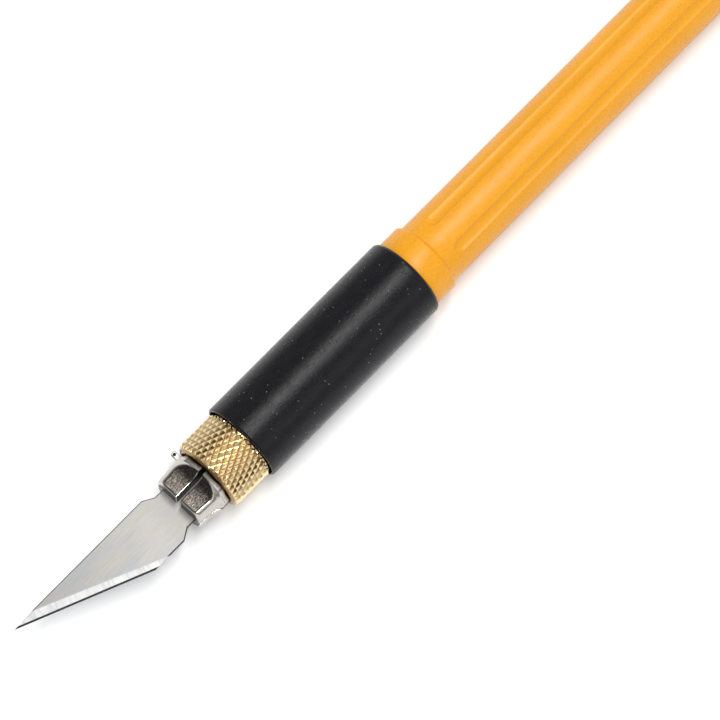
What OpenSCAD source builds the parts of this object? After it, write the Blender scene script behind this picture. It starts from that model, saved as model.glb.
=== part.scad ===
// Pen-shaped hobby craft knife: a split four-jaw chuck with a knurled nut, a rubber grip over a
// hollow fluted handle, and a tail cap that carries spare blades.
// Its axis lies along X with the tip at -X, the cutting edge faces -Y, and the blade lies level.
// The origin is midway along the knife, on the surface that it rests on.

/* [Overall] */
// Length from blade tip to tail
overall_length = 165; // [160:1:180]
// Outer diameter of the rubber grip, which is also the cap's width across its flats
grip_dia = 12.1; // [12:0.05:12.6]

/* [Blades] */
// Length of the straight blade
blade_length = 40.9; // [39.5:0.1:42]
// Full width of a blade ahead of its shoulders
blade_width = 7.88; // [7.4:0.02:8]
// Width of a blade's tang
tang_width = 6; // [5.8:0.01:6.1]
// Length of a blade's tang
tang_length = 15.4; // [14:0.1:15.6]
// Thickness of a blade
blade_thick = 0.45; // [0.4:0.01:0.5]
// How far the mounted blade stands out of the jaws
blade_reach = 26.9; // [26:0.1:28]
// Width of the ground bevel
bevel_width = 1.25; // [0.8:0.05:1.6]
// Length of the curved blade's straight back
curved_length = 38; // [37:0.1:38.5]
// Length of the chisel blade
chisel_length = 35.3; // [34:0.1:37]

/* [Chuck] */
// Radius of the jaws' head at its front
head_front_r = 4.3; // [4.2:0.01:4.45]
// Largest radius of the jaws' head
head_r = 4.58; // [4.5:0.01:4.65]
// Height of the ground top flats above the axis
top_flat = 2.95; // [2.85:0.05:3.2]
// Half the width over the ground side flats
side_flat = 3.8; // [3.7:0.02:3.9]
// Radius at which each flat runs out to the back
runout_r = 2.1; // [1.8:0.1:2.3]
// Width of the upright slot between the jaws
jaw_slot = 0.7; // [0.5:0.05:0.8]
// Outer diameter of the knurled nut
nut_dia = 11; // [10.9:0.05:11.1]
// Number of teeth round the nut
nut_teeth = 54; // [36:2:60]
// Nut travel for one whole turn, which opens the jaws
nut_travel = 0.7; // [0.5:0.05:0.8]

/* [Grip and handle] */
// Length of the rubber grip
grip_length = 32.1; // [30:0.1:34]
// Diameter of the collar behind the grip
collar_dia = 11; // [10.6:0.05:11.4]
// Diameter of the handle behind the collar
handle_dia = 10; // [9.95:0.05:10.3]
// Diameter of the handle at its tail
handle_tail_dia = 9.9; // [9.85:0.05:10.2]
// Depth of a flute
flute_depth = 0.4; // [0.2:0.05:0.4]
// Radius of a flute's section
flute_r = 1.4; // [1.3:0.1:2.6]

/* [Tail cap] */
// Length of the six-sided head of the cap
cap_length = 6; // [5:0.5:8]
// Diameter over the cap's rounded corners
cap_round_dia = 13.4; // [13:0.1:13.6]
// Height of the flat storage pocket, across the stack of blades
pocket_height = 3.6; // [3.5:0.1:3.8]

/* [Hidden] */
$fn = 96;

// height of the knife's axis above the surface that it rests on
axis_z = grip_dia / 2;

// stations along the axis
tip_x = -overall_length / 2;
tail_x = overall_length / 2;
jaw_x = tip_x + blade_reach;
tang_end_x = tip_x + blade_length;
head_x = jaw_x + 4.2;
nut_x = head_x + 1;
grip_x = nut_x + 6.6;
nose_x = grip_x + 1.6;
root_x = tang_end_x + 1;
grip_end_x = grip_x + grip_length;
collar_end_x = grip_end_x + 3.7;
flute_start_x = collar_end_x + 2.3;
cap_x = tail_x - cap_length;
flute_end_x = cap_x - 9;

// the chuck: the head's rear cone drops to the fingers, which bend at root_x
cone_drop = 0.55;
finger_r = 2.6;
grip_gap = 0.01;
neck_x = head_x + (head_r - finger_r) / cone_drop;
ring_gap = 0.06;
ring_front_x = nut_x + 0.25;
ring_back_x = ring_front_x + 1.35;
ring_pocket_r = 4.45;
nut_r = nut_dia / 2;
nut_back_x = grip_x + 0.4;
thread_r = 3.95;
running_gap = 0.05;
slip_gap = 0.02;
ferrule_x = nut_x + 2.8;
ferrule_end_x = nose_x + 15;
ferrule_bore_r = 3.2;
ferrule_body_r = 3.85;
flange_r = 4.4;
flange_t = 0.8;
shank_end_x = ferrule_end_x - 0.5;
pin_x = (root_x + shank_end_x) / 2;
pin_r = 0.6;

// the handle
nose_r = 4.75;
rib_r = 5.05;
rib_w = 1.2;
collar_r = collar_dia / 2;
handle_r = handle_dia / 2;
tail_r = handle_tail_dia / 2;
lip_r = 5.65;
flutes = 6;
flute_pitch = 360 / flutes;
first_flute = 38.1;
land_angle = first_flute + flute_pitch / 2;

// the storage pocket, the cap's spigot and the rack
pocket_r = 4.15;
pocket_x = grip_end_x - 4;
spigot_r = 4.05;
spigot_bore_r = 4.1;
spigot_length = 7.4;
spigot_x = cap_x - spigot_length;
seal_x = cap_x - 1.6;
seal_wire_r = 0.47;
seal_mid_r = 3.6;
rack_t = 0.8;
rack_w = 7.4;
rack_tab_w = 5;
rack_length = 46;
rack_x = spigot_x - rack_length;
rack_pin_x = spigot_x + 2.4;
stack_gap = 0.08;
stack_x = spigot_x - 1.6;
stack_low = -1.45;
bridge_x = stack_x - 15;
bridge_l = 3.4;
bridge_t = 0.5;
bridge_inner = 3.15;

// straight blade: half widths and the places where its outline turns, from the tang's end
half_w = blade_width / 2;
half_tang = tang_width / 2;
shoulder = tang_length + 1.57;
heel = 22.4;
tip_drop = 0.14;
tip_facet = 4.2;
edge_flat = 0.02;
slot_l = 5.2;
slot_w = 2.5;
slot_at = 6.3;

// chisel blade: its tang is longer and its body a little wider
chisel_tang = 20.5;
chisel_shoulder = 21.9;
chisel_half_w = half_w + 0.06;

// curved blade: its edge is one arc
curved_edge_r = 29.3;
curved_centre = [-18.6, -21.57];
curved_notch = 16.95;
curved_bump = 17.6;
curved_tail_w = 6.15;
curved_back = 10.45;
curved_slot_at = 12;
curved_width = curved_edge_r + curved_centre[1];

// a turned piece, from its outline given as [radius, x]
module turned(outline) {
    translate([0, 0, axis_z])
        rotate([0, 90, 0])
            rotate_extrude()
                polygon(outline);
}

// a round bar or hole along X, from x0 to x1, on the knife's axis
module bar_x(r, x0, x1) {
    translate([x0, 0, axis_z])
        rotate([0, 90, 0])
            cylinder(r = r, h = x1 - x0);
}

// cuts one face of a bevel along the edge from p0 to p1, whose inner side is on its left
module bevel_face(p0, p1, width) {
    run = p1 - p0;
    fall = (blade_thick / 2 - edge_flat) / width;
    translate([p0[0], p0[1], 0])
        rotate([0, 0, atan2(run[1], run[0])])
            translate([-6, 0, 0])
                rotate([90, 0, 90])
                    linear_extrude(height = norm(run) + 12)
                        polygon([
                            [width, blade_thick / 2],
                            [width, 1],
                            [-2, 1],
                            [-2, edge_flat - 2 * fall]
                        ]);
}

// both faces of that bevel
module bevel(p0, p1, width) {
    bevel_face(p0, p1, width);
    mirror([0, 0, 1])
        bevel_face(p0, p1, width);
}

// an oblong hole along X
module oblong(l, w) {
    linear_extrude(height = 2, center = true) {
        square([l - w, w], center = true);
        for (side = [-1, 1])
            translate([side * (l - w) / 2, 0])
                circle(d = w);
    }
}

// straight blade, lying level, with the middle of its tang's end at the origin
module straight_blade() {
    tip = [-blade_length, half_w - tip_drop];
    heel_point = [-heel, -half_w];
    difference() {
        linear_extrude(height = blade_thick, center = true)
            polygon([
                [0, half_tang],
                [-tang_length, half_tang],
                [-shoulder, half_w],
                [-blade_length + tip_facet, half_w],
                tip,
                heel_point,
                [-shoulder, -half_w],
                [-tang_length, -half_tang],
                [0, -half_tang]
            ]);
        bevel(tip, heel_point, bevel_width);
        translate([-slot_at, 0, 0])
            oblong(slot_l, slot_w);
    }
}

// curved blade: straight back, arched edge, bevelled tail
module curved_blade() {
    tail_point = [0, -0.2];
    back_point = [-curved_back, curved_tail_w];
    mirror([0, 1, 0])
        translate([0, -curved_width / 2, 0])
            difference() {
                intersection() {
                    linear_extrude(height = blade_thick, center = true)
                        polygon([
                            [0, 0],
                            [-curved_length, 0],
                            [-curved_length, 12],
                            [-curved_bump, 12],
                            [-curved_notch, curved_tail_w],
                            back_point
                        ]);
                    translate([curved_centre[0], curved_centre[1], 0])
                        rotate_extrude()
                            polygon([
                                [0, -blade_thick / 2],
                                [curved_edge_r - bevel_width, -blade_thick / 2],
                                [curved_edge_r, -edge_flat],
                                [curved_edge_r, edge_flat],
                                [curved_edge_r - bevel_width, blade_thick / 2],
                                [0, blade_thick / 2]
                            ]);
                }
                bevel(tail_point, back_point, bevel_width);
                translate([-curved_slot_at, curved_tail_w / 2, 0])
                    oblong(slot_l, slot_w);
            }
}

// chisel blade: square front edge
module chisel_blade() {
    difference() {
        linear_extrude(height = blade_thick, center = true)
            polygon([
                [0, half_tang],
                [-chisel_tang, half_tang],
                [-chisel_shoulder, chisel_half_w],
                [-chisel_length, chisel_half_w],
                [-chisel_length, -chisel_half_w],
                [-chisel_shoulder, -chisel_half_w],
                [-chisel_tang, -half_tang],
                [0, -half_tang]
            ]);
        bevel([-chisel_length, chisel_half_w], [-chisel_length, -chisel_half_w], bevel_width);
        translate([-slot_at, 0, 0])
            oblong(slot_l, slot_w);
    }
}

module blade() {
    color("lightsteelblue")
        translate([tang_end_x, 0, axis_z])
            straight_blade();
}

// cuts a ground flat: level with the given height at the front, rising gently, and running out
// to the back on the cutter's radius
module flat_cut(height, rise) {
    flat_l = head_x - jaw_x - 1.8;
    translate([jaw_x, 0, axis_z])
        rotate([0, -rise, 0])
            translate([0, -8, height]) {
                translate([-2, 0, 0])
                    cube([flat_l + 2, 16, 8]);
                translate([flat_l, 0, runout_r])
                    rotate([-90, 0, 0])
                        cylinder(r = runout_r, h = 16);
            }
}

// the whole collet ahead of the shank, before it is slit
module collet_front() {
    difference() {
        turned([
            [0, jaw_x],
            [head_front_r - 0.15, jaw_x],
            [head_front_r, jaw_x + 0.15],
            [head_r, head_x - 0.6],
            [head_r, head_x],
            [finger_r, neck_x],
            [finger_r, root_x],
            [0, root_x]
        ]);
        for (side = [0, 1])
            translate([0, 0, side * 2 * axis_z])
                mirror([0, 0, side])
                    flat_cut(top_flat, 2);
        for (side = [-90, 90])
            translate([0, 0, axis_z])
                rotate([side, 0, 0])
                    translate([0, 0, -axis_z])
                        flat_cut(side_flat, 4);
    }
}

// one jaw: the quarter of the collet on the given sides of the slots
module jaw(side_y, side_z) {
    color("silver")
        intersection() {
            collet_front();
            translate([
                jaw_x - 1,
                side_y > 0 ? jaw_slot / 2 : -jaw_slot / 2 - 8,
                side_z > 0 ? axis_z + blade_thick / 2 + grip_gap : axis_z - blade_thick / 2 - grip_gap - 8
            ])
                cube([root_x - jaw_x + 1, 8, 8]);
        }
}

module jaw_upper_spine() {
    jaw(1, 1);
}

module jaw_upper_edge() {
    jaw(-1, 1);
}

// this jaw carries a small drilled lug beside the nut
module jaw_lower_spine() {
    lug = [0.78, 1.85, 0.85];
    lug_top = axis_z - 0.28;
    jaw(1, -1);
    color("silver")
        difference() {
            translate([nut_x - 0.12 - lug[0], 3.9, lug_top - lug[2]])
                cube(lug);
            translate([nut_x - 0.54, 5.33, lug_top - 0.4])
                cylinder(r = 0.2, h = 1);
        }
}

module jaw_lower_edge() {
    jaw(-1, -1);
}

module collet_shank() {
    color("silver")
        difference() {
            bar_x(ferrule_bore_r - slip_gap, root_x, shank_end_x);
            cross_hole();
        }
}

// the hole for the cross pin, through the shank and the ferrule
module cross_hole() {
    translate([pin_x, 0, axis_z])
        cylinder(r = pin_r, h = 12, center = true);
}

module cross_pin() {
    color("gray")
        translate([pin_x, 0, axis_z])
            cylinder(r = pin_r - slip_gap / 2, h = 2 * ferrule_body_r - 0.3, center = true);
}

// a washer inside the nut's mouth, which presses the jaws' rear cone without turning
module thrust_ring() {
    front_r = head_r - (ring_front_x - head_x) * cone_drop + ring_gap;
    back_r = head_r - (ring_back_x - head_x) * cone_drop + ring_gap;
    color("dimgray")
        turned([
            [front_r, ring_front_x],
            [ring_pocket_r - running_gap, ring_front_x],
            [ring_pocket_r - running_gap, ring_back_x],
            [back_r, ring_back_x]
        ]);
}

// the nut's outer toothing, as a star-shaped bar
module nut_toothing(x0, x1) {
    translate([x0, 0, axis_z])
        rotate([0, 90, 0])
            linear_extrude(height = x1 - x0)
                polygon([
                    for (i = [0 : 2 * nut_teeth - 1])
                        (nut_r - (i % 2) * 0.25) * [cos(180 * i / nut_teeth), sin(180 * i / nut_teeth)]
                ]);
}

module knurled_nut() {
    rim = 0.6;
    back_rim_r = nut_r - 0.3;
    color("goldenrod")
        difference() {
            union() {
                nut_toothing(nut_x + rim, grip_x - 0.15);
                turned([
                    [0, nut_x],
                    [nut_r - 0.65, nut_x],
                    [nut_r - 0.08, nut_x + rim],
                    [0, nut_x + rim]
                ]);
                bar_x(back_rim_r, grip_x - 0.15, nut_back_x);
            }
            bar_x(ring_pocket_r, nut_x - 1, ring_back_x + 0.05);
            bar_x(thread_r + running_gap, ring_back_x, nut_back_x + 1);
        }
}

module threaded_ferrule() {
    color("darkgoldenrod")
        difference() {
            turned([
                [ferrule_bore_r, ferrule_x],
                [thread_r - 0.3, ferrule_x],
                [thread_r, ferrule_x + 0.3],
                [thread_r, nose_x],
                [flange_r, nose_x],
                [flange_r, nose_x + flange_t],
                [ferrule_body_r, nose_x + flange_t],
                [ferrule_body_r, ferrule_end_x],
                [ferrule_bore_r, ferrule_end_x]
            ]);
            cross_hole();
        }
}

// the handle's nose as [radius, x], which the rubber grip fits over
function rib(x) = [
    [nose_r, x],
    [rib_r, x + 0.3],
    [rib_r, x + rib_w - 0.3],
    [nose_r, x + rib_w]
];
nose_outline = concat(
    [[nose_r, nose_x]],
    rib(nose_x + 6),
    rib(grip_end_x - 8),
    [[nose_r, grip_end_x]]
);

module rubber_grip() {
    front_r = 0.35;
    round_r = 0.6;
    arc = [0 : 15 : 90];
    front_round = [
        for (a = arc)
            [axis_z - front_r + front_r * sin(a), grip_x + front_r - front_r * cos(a)]
    ];
    back_round = [
        for (a = arc)
            [axis_z - round_r + round_r * cos(a), grip_end_x - round_r + round_r * sin(a)]
    ];
    color("#26262a")
        turned(concat(
            [[lip_r, grip_x]],
            front_round,
            back_round,
            [for (i = [len(nose_outline) - 1 : -1 : 0]) nose_outline[i]],
            [[lip_r, nose_x]]
        ));
}

// one flute's cutter: a round-ended bar just outside the handle
module flute_cut(angle) {
    end_l = sqrt(flute_r * flute_r - pow(flute_r - flute_depth, 2));
    x0 = flute_start_x + end_l;
    x1 = flute_end_x - end_l;
    translate([0, 0, axis_z])
        rotate([angle, 0, 0])
            translate([0, 0, handle_r + flute_r - flute_depth]) {
                translate([x0, 0, 0])
                    rotate([0, 90, 0])
                        cylinder(r = flute_r, h = x1 - x0);
                for (x = [x0, x1])
                    translate([x, 0, 0])
                        rotate([0, 90, 0])
                            sphere(r = flute_r);
            }
}

// the flat pocket for the blades, across two lands of the handle
module storage_pocket() {
    intersection() {
        bar_x(pocket_r, pocket_x, cap_x);
        on_rack_plane()
            translate([pocket_x, -8, -pocket_height / 2])
                cube([cap_x - pocket_x, 16, pocket_height]);
    }
}

module handle_barrel() {
    step = 0.55;
    color("orange")
        difference() {
            turned(concat(
                [[0, nose_x]],
                nose_outline,
                [
                    [collar_r, grip_end_x],
                    [collar_r, collar_end_x - step],
                    [collar_r - 0.12, collar_end_x - step / 2],
                    [handle_r + 0.03, collar_end_x],
                    [handle_r, collar_end_x + 0.3],
                    [tail_r, cap_x - 0.3],
                    [tail_r - 0.3, cap_x],
                    [0, cap_x]
                ]
            ));
            bar_x(flange_r, nose_x - 1, nose_x + flange_t);
            bar_x(ferrule_body_r, nose_x, ferrule_end_x);
            bar_x(spigot_bore_r, spigot_x - 0.3, cap_x + 1);
            storage_pocket();
            for (i = [0 : flutes - 1])
                flute_cut(first_flute + i * flute_pitch);
        }
}

// puts what is drawn level about the axis into the plane of the rack
module on_rack_plane() {
    translate([0, 0, axis_z])
        rotate([land_angle - 90, 0, 0])
            children();
}

// the slot and the hole that hold the rack in the cap's spigot
module rack_tab(gap) {
    on_rack_plane()
        translate([spigot_x - 1, -rack_tab_w / 2 - gap, stack_low - gap])
            cube([6, rack_tab_w + 2 * gap, rack_t + 2 * gap]);
}

module rack_pin_hole(r, h) {
    on_rack_plane()
        translate([rack_pin_x, 0, 0])
            cylinder(r = r, h = h, center = true);
}

module tail_cap() {
    dome = 1.2;
    color("orange")
        difference() {
            union() {
                intersection() {
                    translate([cap_x, 0, axis_z])
                        rotate([30, 0, 0])
                            rotate([0, 90, 0])
                                cylinder(r = axis_z / cos(30), h = cap_length, $fn = 6);
                    turned([
                        [0, cap_x],
                        [cap_round_dia / 2 - 0.5, cap_x],
                        [cap_round_dia / 2, cap_x + 0.5],
                        [cap_round_dia / 2, tail_x - dome],
                        [cap_round_dia / 2 - dome, tail_x],
                        [0, tail_x]
                    ]);
                }
                bar_x(spigot_r, spigot_x, cap_x + 1);
            }
            translate([seal_x, 0, axis_z])
                rotate([0, 90, 0])
                    rotate_extrude()
                        translate([seal_mid_r + 0.5, 0])
                            square([1.98, 1.1], center = true);
            rack_tab(0);
            rack_pin_hole(0.5, 12);
        }
}

module cap_seal_ring() {
    color("#26262a")
        translate([seal_x, 0, axis_z])
            rotate([0, 90, 0])
                rotate_extrude()
                    translate([seal_mid_r, 0])
                        circle(r = seal_wire_r);
}

// the tongue that the blades lie on, with a bridge over their tangs; one wall of the bridge has
// a window for the back of the curved blade, which is wider there than the bridge
module blade_rack() {
    stack_h = 3 * (blade_thick + stack_gap) + stack_gap;
    wall = rack_w / 2 - bridge_inner;
    color("gainsboro")
        difference() {
            union() {
                on_rack_plane() {
                    translate([rack_x, -rack_w / 2, stack_low])
                        cube([rack_length - 0.2, rack_w, rack_t]);
                    for (side = [-1, 1])
                        translate([bridge_x, side * (rack_w - wall) / 2 - wall / 2, stack_low])
                            cube([bridge_l, wall, rack_t + stack_h + bridge_t]);
                    translate([bridge_x, -rack_w / 2, stack_low + rack_t + stack_h])
                        cube([bridge_l, rack_w, bridge_t]);
                }
                rack_tab(0);
            }
            on_rack_plane()
                translate([
                    bridge_x - 1,
                    bridge_inner - 1,
                    stack_low + rack_t + blade_thick + 1.5 * stack_gap
                ])
                    cube([bridge_l + 2, 3, blade_thick + stack_gap]);
            rack_pin_hole(0.5, 12);
        }
}

module rack_pin() {
    color("gray")
        rack_pin_hole(0.49, 6);
}

// one spare in its place in the stack
module stacked(level) {
    on_rack_plane()
        translate([
            stack_x,
            0,
            stack_low + rack_t + stack_gap + blade_thick / 2 + level * (blade_thick + stack_gap)
        ])
            children();
}

module spare_straight_blade() {
    color("lightsteelblue")
        stacked(0)
            straight_blade();
}

module spare_curved_blade() {
    color("lightsteelblue")
        stacked(1)
            curved_blade();
}

module spare_chisel_blade() {
    color("lightsteelblue")
        stacked(2)
            chisel_blade();
}

blade();
collet_shank();
jaw_upper_spine();
jaw_upper_edge();
jaw_lower_spine();
jaw_lower_edge();
thrust_ring();
knurled_nut();
threaded_ferrule();
cross_pin();
rubber_grip();
handle_barrel();
tail_cap();
cap_seal_ring();
blade_rack();
rack_pin();
spare_straight_blade();
spare_curved_blade();
spare_chisel_blade();
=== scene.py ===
"""Looks for the hobby craft knife: meshes, materials, studio and camera around the CAD frame."""

import math

import bmesh
import bpy
from mathutils import Matrix, Vector
from mathutils.geometry import delaunay_2d_cdt


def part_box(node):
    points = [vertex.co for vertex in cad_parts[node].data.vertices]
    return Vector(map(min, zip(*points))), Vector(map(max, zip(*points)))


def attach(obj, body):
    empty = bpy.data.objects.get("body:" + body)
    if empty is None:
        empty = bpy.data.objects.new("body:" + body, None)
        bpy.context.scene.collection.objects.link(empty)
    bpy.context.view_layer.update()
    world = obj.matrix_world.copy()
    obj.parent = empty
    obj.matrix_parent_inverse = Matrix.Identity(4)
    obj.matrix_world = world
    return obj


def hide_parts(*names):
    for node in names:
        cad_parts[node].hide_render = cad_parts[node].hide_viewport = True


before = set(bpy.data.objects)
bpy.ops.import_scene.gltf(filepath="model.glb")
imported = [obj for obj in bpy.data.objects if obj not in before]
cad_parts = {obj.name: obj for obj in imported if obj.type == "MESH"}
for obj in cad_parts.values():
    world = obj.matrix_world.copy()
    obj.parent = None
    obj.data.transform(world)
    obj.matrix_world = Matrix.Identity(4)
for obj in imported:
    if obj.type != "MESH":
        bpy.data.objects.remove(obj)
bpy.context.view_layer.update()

TAU = 2 * math.pi
MM = 0.001
MICRON = 1e-6


def box_mm(node):
    """Lowest and highest corners of a CAD node, in millimetres."""
    low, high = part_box(node)
    return [c * 1000 for c in low], [c * 1000 for c in high]


# ---------------------------------------------------------------- places, from the CAD frame
blade_low, blade_high = box_mm("blade")
BLADE_L = blade_high[0] - blade_low[0]
jaw_low, jaw_high = box_mm("jaw_upper_spine")
nut_low, nut_high = box_mm("knurled_nut")
grip_low, grip_high = box_mm("rubber_grip")
barrel_low, barrel_high = box_mm("handle_barrel")
cap_low, cap_high = box_mm("tail_cap")
ring_high = box_mm("thrust_ring")[1]
ferrule_high = box_mm("threaded_ferrule")[1]

axis_z = (grip_low[2] + grip_high[2]) / 2
grip_x, grip_end_x = grip_low[0], grip_high[0]
grip_r = (grip_high[1] - grip_low[1]) / 2
jaw_x, root_x = jaw_low[0], jaw_high[0]
nut_x, nut_back_x = nut_low[0], nut_high[0]
nut_r = (nut_high[1] - nut_low[1]) / 2
nose_x, cap_x = barrel_low[0], barrel_high[0]
collar_r = (barrel_high[1] - barrel_low[1]) / 2
spigot_x, tail_x = cap_low[0], cap_high[0]
head_x = nut_x - 1


# ---------------------------------------------------------------- mesh helpers
def finish_mesh(name, bm, materials, body, nodes, crease):
    """Turns a bmesh in millimetres into a piece that rides on a body.

    Its shading is smooth, except at edges that turn by more than the crease, in degrees.
    """
    bmesh.ops.remove_doubles(bm, verts=bm.verts, dist=1e-5)
    bmesh.ops.recalc_face_normals(bm, faces=bm.faces)
    for face in bm.faces:
        face.smooth = True
    for edge in bm.edges:
        if len(edge.link_faces) == 2 and edge.calc_face_angle(0) > math.radians(crease):
            edge.smooth = False
    bmesh.ops.scale(bm, vec=(MM, MM, MM), verts=bm.verts)
    mesh = bpy.data.meshes.new(name)
    bm.to_mesh(mesh)
    bm.free()
    for material in materials:
        mesh.materials.append(material)
    piece = bpy.data.objects.new(name, mesh)
    bpy.context.scene.collection.objects.link(piece)
    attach(piece, body)
    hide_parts(*nodes)
    return piece


def add_rings(bm, rings, loop=False, ring_mats=None, col_mats=None, split=None):
    """Joins rings of points, each with as many points as the others, into one skin.

    A loop's last ring joins its first; other skins get a cap at each end. The materials go by
    ring or by column. split says how a face is cut: 0 not at all, 1 or 2 along a diagonal.
    """
    rows = [[bm.verts.new(p) for p in ring] for ring in rings]
    count = len(rows[0])
    pairs = list(zip(rows, rows[1:]))
    if loop:
        pairs.append((rows[-1], rows[0]))
    for r, (a, b) in enumerate(pairs):
        for c in range(count):
            d = (c + 1) % count
            corners = (a[c], a[d], b[d], b[c])
            turn = split(r, c) if split else 0
            if turn == 1:
                made = [bm.faces.new(corners[:3]), bm.faces.new((corners[0],) + corners[2:])]
            elif turn == 2:
                made = [bm.faces.new((corners[0], corners[1], corners[3])), bm.faces.new(corners[1:])]
            else:
                made = [bm.faces.new(corners)]
            for face in made:
                if ring_mats:
                    face.material_index = ring_mats[r]
                elif col_mats:
                    face.material_index = col_mats[c]
    if not loop:
        bm.faces.new(rows[0])
        bm.faces.new(rows[-1][::-1])


def polar(x, radius, count):
    """A ring of points about the knife's axis; radius is a number or a function of the angle."""
    ring = []
    for i in range(count):
        a = TAU * i / count
        r = radius(a) if callable(radius) else radius
        ring.append((x, r * math.cos(a), axis_z + r * math.sin(a)))
    return ring


def arc(cx, cr, size, start, end, steps):
    """Points (x, r) on a round, from one angle to another in degrees."""
    out = []
    for i in range(steps + 1):
        a = math.radians(start + (end - start) * i / steps)
        out.append((cx + size * math.cos(a), cr + size * math.sin(a)))
    return out


def smooth_min(a, b, k):
    """The lesser of two numbers, with the corner between them rounded over about k."""
    h = max(k - abs(a - b), 0.0) / k
    return min(a, b) - h * h * k / 4


# ---------------------------------------------------------------- material helpers
class Look:
    """A Principled material, with short ways to add the nodes that it needs."""

    def __init__(self, name, colour, metallic, roughness, **sockets):
        self.material = bpy.data.materials.new(name)
        self.material.use_nodes = True
        self.tree = self.material.node_tree
        self.shader = self.tree.nodes["Principled BSDF"]
        self.set("Base Color", (*colour, 1))
        self.set("Metallic", metallic)
        self.set("Roughness", roughness)
        for key, value in sockets.items():
            self.set(key.replace("_", " "), value)

    def set(self, socket, value):
        self.shader.inputs[socket].default_value = value

    def node(self, kind, **values):
        made = self.tree.nodes.new(kind)
        for key, value in values.items():
            if key in made.inputs:
                made.inputs[key].default_value = value
            else:
                setattr(made, key, value)
        return made

    def link(self, out, to):
        self.tree.links.new(out, to)

    def place(self, scale, turn=(0, 0, 0), attribute=None):
        """Coordinates in millimetres, turned in degrees and then scaled along each axis."""
        if attribute:
            source = self.node("ShaderNodeAttribute", attribute_name=attribute).outputs["Vector"]
            unit = 1
        else:
            source = self.node("ShaderNodeTexCoord").outputs["Object"]
            unit = 1000
        turned = self.node("ShaderNodeMapping")
        turned.inputs["Rotation"].default_value = [math.radians(t) for t in turn]
        self.link(source, turned.inputs["Vector"])
        scaled = self.node("ShaderNodeMapping")
        scaled.inputs["Scale"].default_value = [s * unit for s in scale]
        self.link(turned.outputs["Vector"], scaled.inputs["Vector"])
        return scaled.outputs["Vector"]

    def parts(self, attribute=None):
        """The coordinates in millimetres, one by one, as outputs X, Y and Z."""
        made = self.node("ShaderNodeSeparateXYZ")
        self.link(self.place((1, 1, 1), attribute=attribute), made.inputs["Vector"])
        return made.outputs

    def noise(self, at, detail, rough):
        made = self.node("ShaderNodeTexNoise", Scale=1, Detail=detail, Roughness=rough)
        self.link(at, made.inputs["Vector"])
        return made.outputs["Fac"]

    def ramp(self, value, *stops):
        """A colour ramp from (place, colour or grey) stops."""
        made = self.node("ShaderNodeValToRGB")
        elements = made.color_ramp.elements
        while len(elements) < len(stops):
            elements.new(0.5)
        for element, (place, colour) in zip(elements, stops):
            element.position = place
            element.color = (*colour, 1) if isinstance(colour, tuple) else (colour, colour, colour, 1)
        self.link(value, made.inputs["Fac"])
        return made.outputs["Color"]

    def spread(self, value, low, high, source):
        """The value, whose range is source, stretched to run from low to high."""
        made = self.node("ShaderNodeMapRange")
        made.inputs["From Min"].default_value = source[0]
        made.inputs["From Max"].default_value = source[1]
        made.inputs["To Min"].default_value = low
        made.inputs["To Max"].default_value = high
        self.link(value, made.inputs["Value"])
        return made.outputs["Result"]

    def add(self, a, b):
        made = self.node("ShaderNodeMath", operation="ADD")
        self.link(a, made.inputs[0])
        self.link(b, made.inputs[1])
        return made.outputs["Value"]

    def mix(self, amount, a, b, kind="MIX"):
        made = self.node("ShaderNodeMix", data_type="RGBA", blend_type=kind)
        for value, socket in ((amount, made.inputs[0]), (a, made.inputs[6]), (b, made.inputs[7])):
            if isinstance(value, (int, float)):
                socket.default_value = value
            elif isinstance(value, tuple):
                socket.default_value = (*value, 1)
            else:
                self.link(value, socket)
        return made.outputs[2]

    def times(self, a, b):
        return self.mix(1.0, a, b, "MULTIPLY")

    def into(self, socket, value):
        self.link(value, self.shader.inputs[socket])

    def tint(self, noise, dark, light):
        """Base colour that goes from dark to light with a noise."""
        self.into("Base Color", self.ramp(noise, (0.3, dark), (0.7, light)))

    def gloss(self, noise, low, high, source=(0.3, 0.7)):
        """Roughness that goes from low to high with a noise."""
        self.into("Roughness", self.spread(noise, low, high, source))

    def bump(self, height, strength, microns):
        made = self.node("ShaderNodeBump", Strength=strength, Distance=microns * MICRON)
        self.link(height, made.inputs["Height"])
        self.into("Normal", made.outputs["Normal"])


# ---------------------------------------------------------------- materials
# each blade keeps its own coordinates in the attribute "lay", so that the grain follows the blade
# how far the bevel's grain is turned, and how long the painted shade towards a blade's tip is
BEVEL_TURN = (0, 0, 22.7)
TIP_SHADE_L = 22
# the range that the finest noises use
FINE_GRAIN = (0.38, 0.62)


def make_blade_body():
    look = Look("blade_body", (0.335, 0.325, 0.31), 0.35, 0.5)
    streaks = look.noise(look.place((0.25, 9, 9), attribute="lay"), 4, 0.6)
    clouds = look.noise(look.place((0.14, 0.4, 0.4), attribute="lay"), 3, 0.5)
    spots = look.noise(look.place((3, 3, 3), attribute="lay"), 5, 0.7)
    sheen = look.ramp(clouds, (0.32, (0.325, 0.335, 0.345)), (0.5, (0.36, 0.352, 0.338)),
                      (0.68, (0.375, 0.352, 0.325)))
    shade = look.ramp(streaks, (0.3, 0.84), (0.7, 1.04))
    # painted shade: the steel is darker towards the tip
    along = look.spread(look.parts("lay")["X"], 0.0, 1.0, (-BLADE_L, -BLADE_L + TIP_SHADE_L))
    tip_shade = look.ramp(along, (0.0, 0.72), (1.0, 1.0))
    look.into("Base Color", look.times(look.times(sheen, shade), tip_shade))
    look.gloss(spots, 0.42, 0.5)
    look.bump(streaks, 0.15, 10)
    return look.material


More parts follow.
